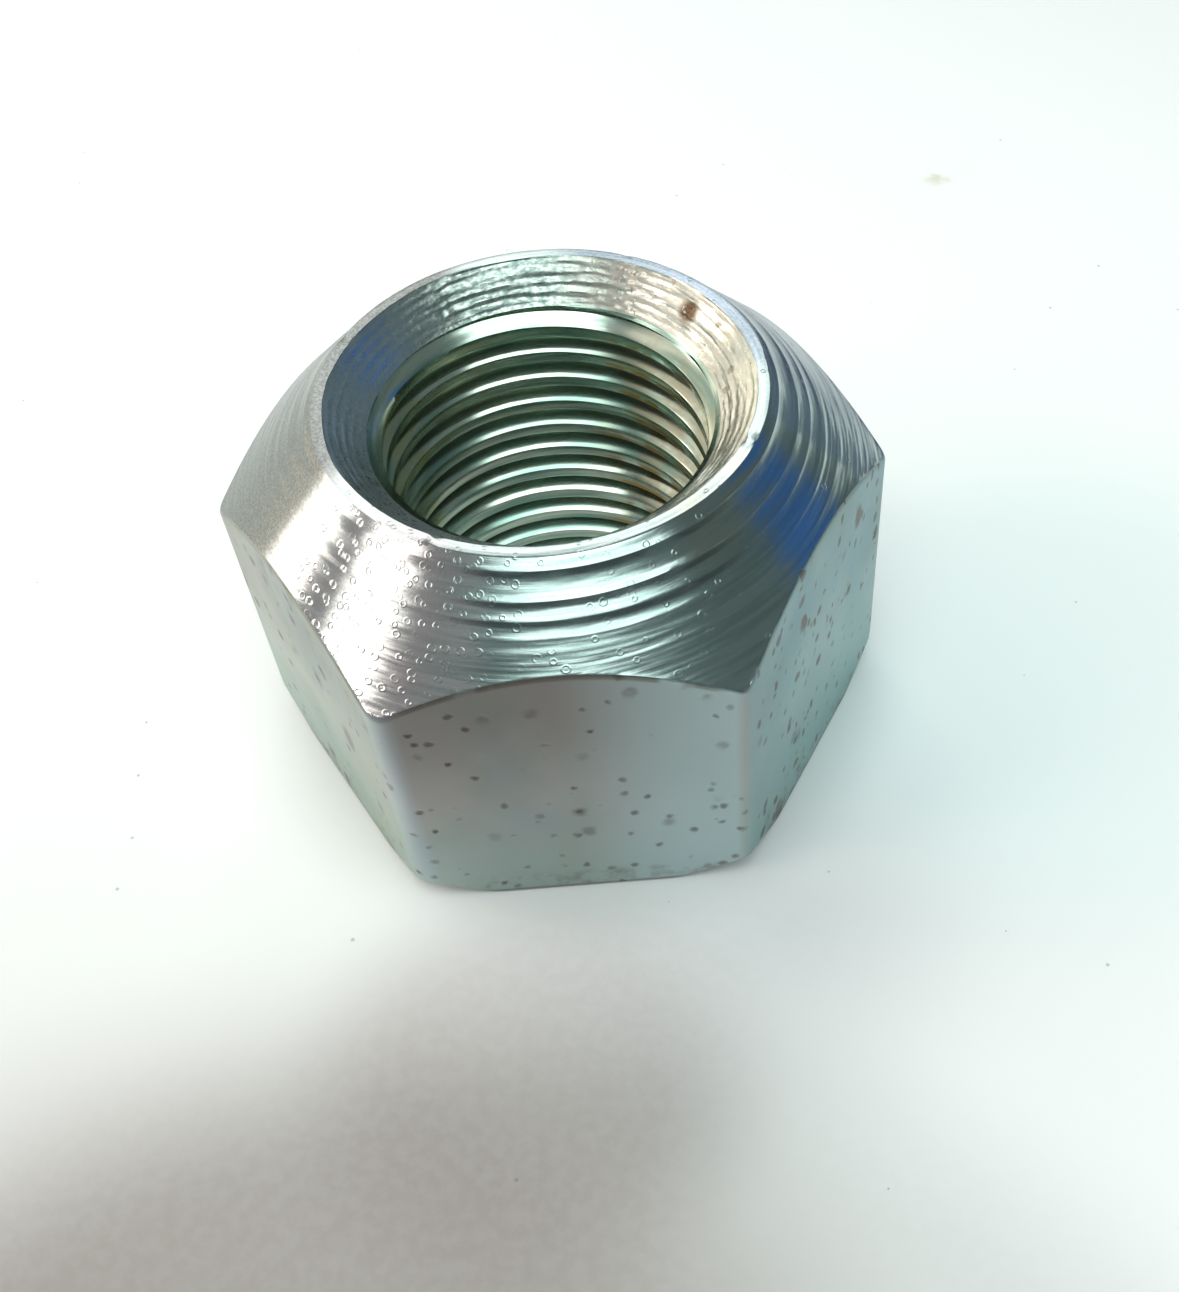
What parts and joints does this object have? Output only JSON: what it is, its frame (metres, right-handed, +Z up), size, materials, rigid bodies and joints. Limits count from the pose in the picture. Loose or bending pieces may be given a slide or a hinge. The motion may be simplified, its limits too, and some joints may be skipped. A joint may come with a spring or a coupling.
{
  "type": "lug nut",
  "caption": "Open hexagonal wheel nut with a conical seat at the nose and a threaded hole right through.",
  "frame": {"origin": "centre of the flat base, on the axis of the hole", "axes": "+Z up the hole to the nose; one flat of the hexagon faces -Y"},
  "size_m": [0.031, 0.027, 0.0191],
  "materials": {
    "zinc_plated_steel": "clear zinc plating, bright where turned and pitted on the flats"
  },
  "bodies": {
    "root": {"lug_nut": "zinc_plated_steel"}
  },
  "joints": []
}
